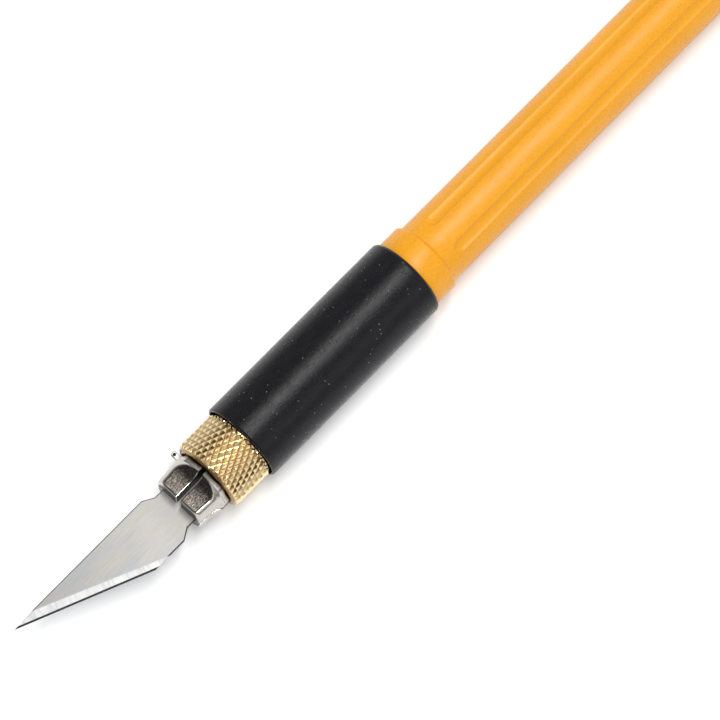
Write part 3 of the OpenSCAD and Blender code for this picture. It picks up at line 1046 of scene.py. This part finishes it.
def fluted(x, base):
    """Radius at each angle where the flutes are cut into a round of that radius."""
    past = max(flute_start + FLUTE_RUN - x, x - (flute_end - FLUTE_RUN), 0)
    reach = HANDLE_R + FLUTE_R - FLUTE_DEPTH
    size = math.sqrt(max(FLUTE_R ** 2 - past ** 2, 0)) if past < FLUTE_R else 0

    def radius(angle):
        off = min(abs(math.remainder(angle - flute_angle(i), TAU)) for i in range(FLUTES))
        across = reach * math.sin(off)
        if size <= across or off > 1:
            return base
        cut = reach * math.cos(off) - math.sqrt(size ** 2 - across ** 2)
        return smooth_min(base, cut, 0.05)

    return radius


def make_barrel():
    """The handle from the ferrule's seat round its outside and in at the tail to the blades' pocket."""
    seat_r, flange_r, flange_t = 3.85, 4.4, 0.8
    pocket_x, pocket_half = grip_end_x - 4, 1.8

    def body_r(x):
        return HANDLE_R + (TAIL_R - HANDLE_R) * (x - collar_end) / (cap_x - collar_end)

    profile = [
        (ferrule_high[0], seat_r), (nose_x + flange_t, seat_r), (nose_x + flange_t, flange_r),
        (nose_x, flange_r), (nose_x, NOSE_R)
    ]
    # two ribs hold the grip
    for at in (nose_x + 6, grip_end_x - 8):
        profile += [(at, NOSE_R), (at + 0.3, RIB_R), (at + 0.9, RIB_R), (at + 1.2, NOSE_R)]
    profile += [
        (grip_end_x, NOSE_R), (grip_end_x, collar_r - 0.1), (grip_end_x + 0.03, collar_r - 0.03),
        (grip_end_x + 0.1, collar_r), (grip_end_x + 1.2, collar_r)
    ]
    # the collar's soft step down to the handle
    for i in range(11):
        t = i / 10
        ease = t * t * (3 - 2 * t)
        profile.append((collar_end - 0.3 + 0.55 * t, collar_r - (collar_r - HANDLE_R) * ease))
    rings = [polar(x, r, COLUMNS) for x, r in profile]
    # the rings are closest together at the flutes' ends
    steps, reach = 16, FLUTE_RUN + 0.1
    ends = [reach * (1 - math.cos(math.pi / 2 * i / steps)) for i in range(steps + 1)]
    first, last = flute_start + reach, flute_end - reach
    stations = [flute_start - 0.3]
    stations += [flute_start - 0.05 + end for end in ends]
    stations += [first + (last - first) * i / 20 for i in range(1, 20)]
    stations += [flute_end + 0.05 - end for end in reversed(ends)]
    stations += [flute_end + 0.5, cap_x - 3, cap_x - 0.35]
    for x in stations:
        rings.append(polar(x, fluted(x, body_r(x)), COLUMNS))
    for x, r in arc(cap_x - 0.3, TAIL_R - 0.3, 0.3, 75, 0, 4):
        rings.append(polar(x, r, COLUMNS))
    rings += [polar(cap_x, BORE_R + 0.12, COLUMNS), polar(cap_x - 0.12, BORE_R, COLUMNS),
              polar(spigot_x - 0.3, BORE_R, COLUMNS)]

    def pocket(angle):
        across = abs(math.sin(angle - RACK_TURN))
        return min(BORE_R - 0.001, pocket_half / across if across > 1e-6 else BORE_R)

    rings += [polar(spigot_x - 0.3, pocket, COLUMNS), polar(pocket_x, pocket, COLUMNS)]
    bm = bmesh.new()
    add_rings(bm, rings)
    finish_mesh("handle_barrel_look", bm, [PLASTIC], "handle",
                ["handle_barrel"], crease=35)


make_barrel()


# ---------------------------------------------------------------- tail cap
def make_cap():
    """The six-sided cap: its spigot with the seal's groove, its flats and its rounded end."""
    flat, corner_r, dome, spigot_r = axis_z, (cap_high[1] - cap_low[1]) / 2, 1.2, 4.05
    groove_x, groove_half, groove_r = cap_x - 1.6, 0.55, 3.11

    def hexagon(shrink, round_r):
        def radius(angle):
            off = math.remainder(angle - math.pi / 2, TAU / 6)
            return smooth_min((flat - shrink) / math.cos(off), round_r - shrink, 0.35)
        return radius

    spigot = (
        (spigot_x, spigot_r - 0.25), (spigot_x + 0.25, spigot_r),
        (groove_x - groove_half, spigot_r), (groove_x - groove_half, groove_r),
        (groove_x + groove_half, groove_r), (groove_x + groove_half, spigot_r), (cap_x, spigot_r)
    )
    rings = [polar(x, r, COLUMNS) for x, r in spigot]
    for x, shrink in ((0.0, 0.3), (0.07, 0.12), (0.18, 0.03), (0.3, 0.0), (1.5, 0.0), (3, 0.0)):
        rings.append(polar(cap_x + x, hexagon(shrink, corner_r), COLUMNS))
    # the end is rounded more at the corners than on the flats
    for i in range(9):
        a = math.pi / 2 * i / 8
        x = tail_x - dome + dome * math.sin(a)
        fall = dome * (1 - math.cos(a))
        rings.append(polar(x, hexagon(0.62 * fall, corner_r - 0.38 * fall), COLUMNS))
    rings.append(polar(tail_x, corner_r - dome - 0.8, COLUMNS))
    bm = bmesh.new()
    add_rings(bm, rings)
    finish_mesh("tail_cap_look", bm, [PLASTIC], "cap", ["tail_cap"], crease=35)


make_cap()


# ---------------------------------------------------------------- rack, from its CAD mesh
def make_rack_piece():
    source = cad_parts["blade_rack"]
    bm = bmesh.new()
    bm.from_mesh(source.data)
    bmesh.ops.remove_doubles(bm, verts=bm.verts, dist=1e-7)
    bmesh.ops.dissolve_limit(bm, angle_limit=math.radians(1), verts=bm.verts, edges=bm.edges)
    bmesh.ops.scale(bm, vec=(1000, 1000, 1000), verts=bm.verts)
    piece = finish_mesh("blade_rack_look", bm, [RACK], "cap", ["blade_rack"],
                        crease=30)
    soft = piece.modifiers.new("soft", "BEVEL")
    soft.width = 0.08 * MM
    soft.segments = 2
    soft.limit_method = "ANGLE"
    soft.angle_limit = math.radians(50)


make_rack_piece()

# ---------------------------------------------------------------- CAD nodes that stay
for node, material in (("collet_shank", STEEL), ("thrust_ring", BLACKENED_AND_SHADE), ("cross_pin", STEEL),
                       ("rack_pin", STEEL), ("threaded_ferrule", FERRULE), ("cap_seal_ring", SEAL)):
    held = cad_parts[node]
    held.data.materials.clear()
    held.data.materials.append(material)

# ---------------------------------------------------------------- floor, light and camera
scene = bpy.context.scene
floor_mesh = bpy.data.meshes.new("floor")
floor_mesh.from_pydata([(-3, -3, 0), (3, -3, 0), (3, 3, 0), (-3, 3, 0)], [], [(0, 1, 2, 3)])
floor = bpy.data.objects.new("floor", floor_mesh)
scene.collection.objects.link(floor)
paper = Look("paper", (0.9, 0.9, 0.9), 0.0, 0.8, Specular_IOR_Level=0.1)
floor_mesh.materials.append(paper.material)

world = bpy.data.worlds.new("studio")
world.use_nodes = True
scene.world = world
nodes, links = world.node_tree.nodes, world.node_tree.links
nodes.clear()
way = nodes.new("ShaderNodeTexCoord").outputs["Generated"]


def facing(direction):
    """How nearly a way out of the scene points in that direction: 1 is straight that way."""
    made = nodes.new("ShaderNodeVectorMath")
    made.operation = "DOT_PRODUCT"
    made.inputs[1].default_value = Vector(direction).normalized()
    links.new(way, made.inputs[0])
    return made.outputs["Value"]


def stretched(value, from_low, from_high, low, high):
    made = nodes.new("ShaderNodeMapRange")
    made.inputs["From Min"].default_value = from_low
    made.inputs["From Max"].default_value = from_high
    made.inputs["To Min"].default_value = low
    made.inputs["To Max"].default_value = high
    links.new(value, made.inputs["Value"])
    return made.outputs["Result"]


def combined(operation, a, b):
    made = nodes.new("ShaderNodeMath")
    made.operation = operation
    links.new(a, made.inputs[0])
    links.new(b, made.inputs[1])
    return made.outputs["Value"]


# an even sky lights the scene, and shiny pieces mirror a tent in its place
even = nodes.new("ShaderNodeBackground")
even.inputs["Color"].default_value = (0.955, 0.975, 1.0, 1)
even.inputs["Strength"].default_value = 0.88
tent = nodes.new("ShaderNodeBackground")
apart = nodes.new("ShaderNodeSeparateXYZ")
links.new(way, apart.inputs["Vector"])
heights = nodes.new("ShaderNodeValToRGB")
links.new(apart.outputs["Z"], heights.inputs["Fac"])
stops = heights.color_ramp.elements
tent_greys = ((0.0, 0.34), (0.25, 0.42), (0.5, 0.62), (0.78, 0.42), (1.0, 0.25))
while len(stops) < len(tent_greys):
    stops.new(0.5)
for stop, (place, grey) in zip(stops, tent_greys):
    stop.position = place
    stop.color = (grey, grey, grey, 1)
links.new(heights.outputs["Color"], tent.inputs["Color"])
# the tent has a dark opening high on the tip's side, is brighter towards the tail, and has a low
# reflector on the cutting edge's side
opening = stretched(facing((-0.6, -0.35, 0.72)), 0.88, 0.96, 1.0, 0.02)
tailward = stretched(apart.outputs["X"], 0.35, 0.65, 1.0, 1.75)
card = stretched(facing((0.1, -0.85, 0.5)), 0.9, 0.96, 0.0, 1.6)
glow = combined("ADD", combined("MULTIPLY", opening, tailward), card)
links.new(glow, tent.inputs["Strength"])
path = nodes.new("ShaderNodeLightPath")
choose = nodes.new("ShaderNodeMixShader")
links.new(path.outputs["Is Glossy Ray"], choose.inputs["Fac"])
links.new(even.outputs["Background"], choose.inputs[1])
links.new(tent.outputs["Background"], choose.inputs[2])
output = nodes.new("ShaderNodeOutputWorld")
links.new(choose.outputs["Shader"], output.inputs["Surface"])

# the key light is a long soft box above the knife, a little towards its tail
key_data = bpy.data.lights.new("key", "AREA")
key_data.shape = "RECTANGLE"
key_data.size, key_data.size_y = 0.5, 0.1
key_data.energy = 3.7
key_data.color = (1, 0.985, 0.96)
key = bpy.data.objects.new("key", key_data)
key.location = (0.05, -0.05, 0.7)
key.rotation_euler = (-key.location).to_track_quat("-Z", "Y").to_euler()
scene.collection.objects.link(key)

camera_data = bpy.data.cameras.new("camera")
camera_data.sensor_width = 36
camera_data.lens = 229.2
camera_data.clip_start, camera_data.clip_end = 0.01, 10
camera = bpy.data.objects.new("camera", camera_data)
forward = Vector((0.2167, 0.2057, -0.9543)).normalized()
right = Vector((0.688, -0.726, 0)).normalized()
up = right.cross(forward)
turn = Matrix((right, up, -forward)).transposed().to_4x4()
camera.matrix_world = Matrix.Translation((-0.1568, -0.1289, 0.5878)) @ turn
scene.collection.objects.link(camera)
scene.camera = camera
scene.view_settings.view_transform = "Standard"
